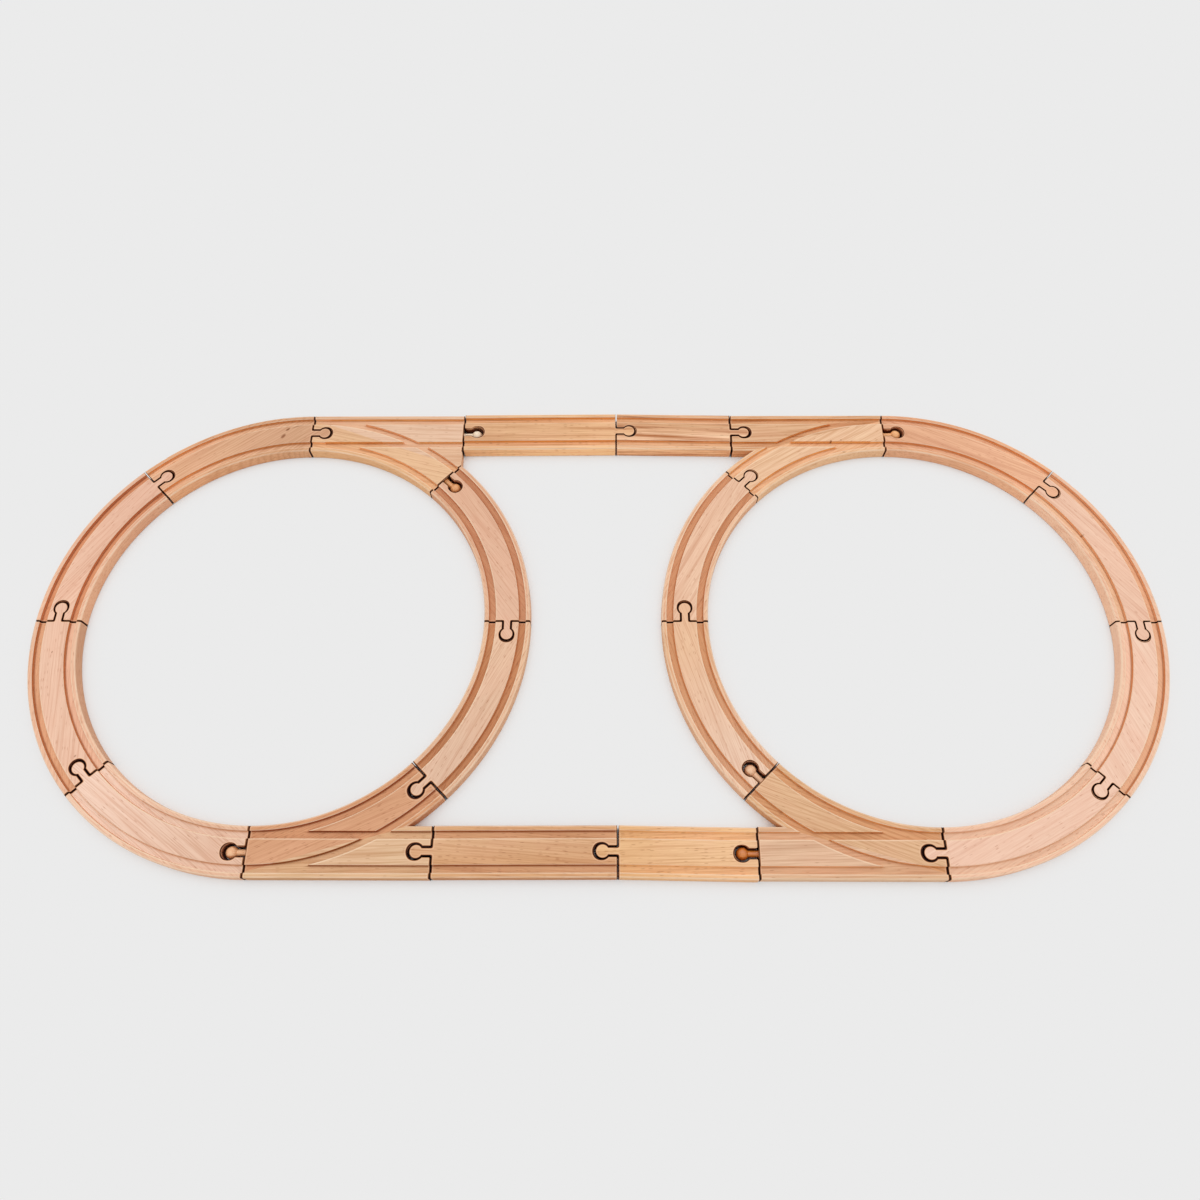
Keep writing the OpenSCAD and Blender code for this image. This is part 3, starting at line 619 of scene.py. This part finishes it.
# Pegs: tone and darker tone (sRGB), the axis's angle (degrees), place (mm), roughness, coat
PEGS = {
    "switch_front_left_peg": ((252, 204, 160), (236, 168, 116), 180, (-288, -195, 6), 0.42, 0.15),
    "switch_back_left_peg_main": ((254, 238, 216), (246, 214, 176), 0, (-110, 195, 6), 0.42, 0.15),
    "switch_back_left_peg_branch": ((242, 178, 118), (222, 146, 90), -45, (-128, 133, 6), 0.36, 0.3),
    "switch_back_right_peg": ((254, 194, 136), (240, 166, 106), 0, (288, 195, 6), 0.42, 0.15),
    "switch_front_right_peg_main": ((224, 136, 58), (198, 106, 38), 180, (110, -195, 6), 0.28, 0.6),
    "switch_front_right_peg_branch": ((250, 208, 170), (236, 176, 134), 135, (122, -126, 6), 0.42, 0.15),
}

# Where a peg lies in a socket: place (mm) and the way the peg points (degrees)
PEG_FRONT_LEFT = on_loop(LEFT, 270)
PEG_BACK_LEFT_MAIN = (*BACK_START, 0.0)
PEG_BACK_LEFT_BRANCH = on_loop(LEFT, 47.7)
PEG_BACK_RIGHT = (LOOP_X, CURVE_R, 0.0)
PEG_FRONT_RIGHT_MAIN = (*FRONT_END, 180.0)
PEG_FRONT_RIGHT_BRANCH = on_loop(RIGHT, 225)

# Where the boards join: place and heading, the board with the tongue (none beside a peg or a switch's seam),
# the board with the socket, and how wide the painted gap shade along the edges is
JOINTS = [
    (on_loop(LEFT, 90), "curve_left_back", "switch_back_left_branch", 0.8),
    (on_loop(LEFT, 90), None, "switch_back_left_main", 0.8),
    (on_loop(LEFT, 135), "curve_left_outer_back", "curve_left_back", 0.7),
    (on_loop(LEFT, 180), "curve_left_outer_front", "curve_left_outer_back", 0.75),
    (on_loop(LEFT, 225), "curve_left_front", "curve_left_outer_front", 1),
    (PEG_FRONT_LEFT, None, "curve_left_front", 0.85),
    (PEG_BACK_LEFT_BRANCH, None, "curve_left_inner_back", 0.6),
    (on_loop(LEFT, 315), "curve_left_inner_front", "switch_front_left_branch", 1.1),
    (on_loop(LEFT, 360), "curve_left_inner_back", "curve_left_inner_front", 0.8),
    (on_loop(RIGHT, 45), "curve_right_back", "curve_right_outer_back", 0.45),
    (on_loop(RIGHT, 0), "curve_right_outer_back", "curve_right_outer_front", 0.45),
    (on_loop(RIGHT, -45), "curve_right_outer_front", "curve_right_front", 0.55),
    (on_loop(RIGHT, -90), "curve_right_front", "switch_front_right_branch", 1),
    (on_loop(RIGHT, -90), None, "switch_front_right_main", 1),
    (on_loop(RIGHT, 180), "curve_right_inner_front", "curve_right_inner_back", 0.75),
    (on_loop(RIGHT, 135), "curve_right_inner_back", "switch_back_right_branch", 0.45),
    ((*BACK_MID, 0.0), "straight_back_long", "straight_back_short", 0.55),
    ((*BACK_END, 0.0), "straight_back_short", "switch_back_right_main", 0.9),
    ((*FRONT_START, 180.0), "straight_front_long", "switch_front_left_main", 1),
    ((*FRONT_MID, 180.0), "straight_front_short", "straight_front_long", 0.9),
    (PEG_BACK_RIGHT, None, "curve_right_back", 0.55),
    (PEG_BACK_LEFT_MAIN, None, "straight_back_long", 0.6),
    (PEG_FRONT_RIGHT_MAIN, None, "straight_front_short", 0.65),
    (PEG_FRONT_RIGHT_BRANCH, None, "curve_right_inner_front", 0.7),
]

# End faces that carry a peg
PEGGED = [
    (PEG_FRONT_LEFT, "switch_front_left_main"),
    (PEG_FRONT_LEFT, "switch_front_left_branch"),
    (PEG_BACK_LEFT_MAIN, "switch_back_left_main"),
    (PEG_BACK_LEFT_BRANCH, "switch_back_left_branch"),
    (PEG_BACK_RIGHT, "switch_back_right_main"),
    (PEG_BACK_RIGHT, "switch_back_right_branch"),
    (PEG_FRONT_RIGHT_MAIN, "switch_front_right_main"),
    (PEG_FRONT_RIGHT_BRANCH, "switch_front_right_branch"),
]


def ends_of(board):
    """The joints that cut a board: place, kind and weight. A cup is a socket that holds a peg."""
    found = [(place, "tongue", weight) for place, tongue, _, weight in JOINTS if tongue == board]
    for place, tongue, socket, weight in JOINTS:
        if socket == board:
            whole = tongue or board.startswith("switch")
            found.append((place, "socket" if whole else "cup", weight))
    return found + [(place, "plain", PEGGED_WEIGHT) for place, pegged in PEGGED if pegged == board]


def dress(node, material):
    obj = nodes[node]
    if not obj.material_slots:
        obj.data.materials.append(material)
    for slot in obj.material_slots:
        slot.material = material


for board, (look, paths) in BOARDS.items():
    dress(board, wood("wood_" + board, look, paths, ends_of(board)))
for peg, looks in PEGS.items():
    dress(peg, turned("wood_" + peg, *looks))


def make_floor(tone):
    """Pale paper. It glows a little for the camera, as a lit backdrop does."""
    half = FLOOR_HALF
    mesh = bpy.data.meshes.new("floor")
    mesh.from_pydata([(-half, -half, 0), (half, -half, 0), (half, half, 0), (-half, half, 0)], [], [(0, 1, 2, 3)])
    floor = bpy.data.objects.new("floor", mesh)
    floor.location.z = -FLOOR_DROP
    bpy.context.scene.collection.objects.link(floor)
    mat = bpy.data.materials.new("pale_floor")
    mat.use_nodes = True
    tree = mat.node_tree
    tree.nodes.clear()
    out = tree.nodes.new("ShaderNodeOutputMaterial")
    paper = tree.nodes.new("ShaderNodeBsdfDiffuse")
    paper.inputs["Color"].default_value = (*tone, 1.0)
    glow = tree.nodes.new("ShaderNodeEmission")
    glow.inputs["Color"].default_value = (*tone, 1.0)
    path = tree.nodes.new("ShaderNodeLightPath")
    share = tree.nodes.new("ShaderNodeMath")
    share.operation = "MULTIPLY"
    mix = tree.nodes.new("ShaderNodeMixShader")
    # the glow fades where pieces stand near: none in a joint's gap, some beside a board, most farther off
    open_sky = tree.nodes.new("ShaderNodeAmbientOcclusion")
    open_sky.samples = GLOW_SAMPLES
    open_sky.inputs["Distance"].default_value = GLOW_REACH
    fade = tree.nodes.new("ShaderNodeFloatCurve")
    curve = fade.mapping.curves[0]
    curve.points[0].location = (0.0, 0.0)
    curve.points[1].location = (1.0, GLOW_FAR)
    for spot in GLOW_FADE:
        curve.points.new(*spot)
    fade.mapping.update()
    for start, end in (
        (open_sky.outputs["AO"], fade.inputs["Value"]),
        (path.outputs["Is Camera Ray"], share.inputs[0]),
        (fade.outputs[0], share.inputs[1]),
        (share.outputs[0], mix.inputs["Fac"]),
        (paper.outputs[0], mix.inputs[1]),
        (glow.outputs[0], mix.inputs[2]),
        (mix.outputs[0], out.inputs["Surface"]),
    ):
        tree.links.new(start, end)
    mesh.materials.append(mat)


def make_light(backdrop):
    """A soft dome, brighter overhead, with a wide lamp from the back. The camera sees the backdrop's tone."""
    world = bpy.data.worlds.new("studio")
    bpy.context.scene.world = world
    world.use_nodes = True
    tree = world.node_tree
    tree.nodes.clear()
    sky = tree.nodes.new("ShaderNodeBackground")
    sky.inputs["Color"].default_value = (1.0, 1.0, 1.0, 1.0)
    aim = tree.nodes.new("ShaderNodeTexCoord")
    split = tree.nodes.new("ShaderNodeSeparateXYZ")
    dome = tree.nodes.new("ShaderNodeMapRange")
    dome.inputs["To Min"].default_value = HORIZON * SKY
    dome.inputs["To Max"].default_value = ZENITH * SKY
    back = tree.nodes.new("ShaderNodeBackground")
    back.inputs["Color"].default_value = (*backdrop, 1.0)
    rays = tree.nodes.new("ShaderNodeLightPath")
    pick = tree.nodes.new("ShaderNodeMixShader")
    out = tree.nodes.new("ShaderNodeOutputWorld")
    for start, end in (
        (aim.outputs["Generated"], split.inputs[0]),
        (split.outputs["Z"], dome.inputs["Value"]),
        (dome.outputs["Result"], sky.inputs["Strength"]),
        (rays.outputs["Is Camera Ray"], pick.inputs["Fac"]),
        (sky.outputs[0], pick.inputs[1]),
        (back.outputs[0], pick.inputs[2]),
        (pick.outputs[0], out.inputs["Surface"]),
    ):
        tree.links.new(start, end)

    tilt = math.radians(SUN_TILT)
    lamp = bpy.data.lights.new("softbox", "SUN")
    lamp.energy = (1.0 - SKY) * math.pi / math.cos(tilt)
    lamp.angle = math.radians(SUN_WIDTH)
    sun = bpy.data.objects.new("softbox", lamp)
    sun.rotation_euler = (-tilt, 0.0, 0.0)
    bpy.context.scene.collection.objects.link(sun)


def make_camera():
    """The photograph's own view: its pitch, turn, roll, distance and focal length."""
    data = bpy.data.cameras.new("camera")
    data.sensor_width = SENSOR_MM
    data.sensor_fit = "HORIZONTAL"
    data.lens = FOCAL_PX / IMAGE_PX * data.sensor_width
    data.clip_start, data.clip_end = CLIP
    cam = bpy.data.objects.new("camera", data)
    pitch, yaw, roll = (math.radians(v) for v in (PITCH, YAW, ROLL))
    back = Vector((math.sin(yaw) * math.cos(pitch), -math.cos(yaw) * math.cos(pitch), math.sin(pitch)))
    level = (-back).cross(Vector((0, 0, 1))).normalized()
    upward = level.cross(-back)
    right = math.cos(roll) * level + math.sin(roll) * upward
    up = -math.sin(roll) * level + math.cos(roll) * upward
    place = (TARGET + back * DIST) * MM
    cam.matrix_world = Matrix((
        (right.x, up.x, back.x, place.x),
        (right.y, up.y, back.y, place.y),
        (right.z, up.z, back.z, place.z),
        (0, 0, 0, 1),
    ))
    bpy.context.scene.collection.objects.link(cam)
    bpy.context.scene.camera = cam


FLOOR_TONE = lin((235, 235, 235))
make_floor(FLOOR_TONE)
make_light(FLOOR_TONE)
make_camera()
bpy.context.scene.view_settings.view_transform = "Standard"
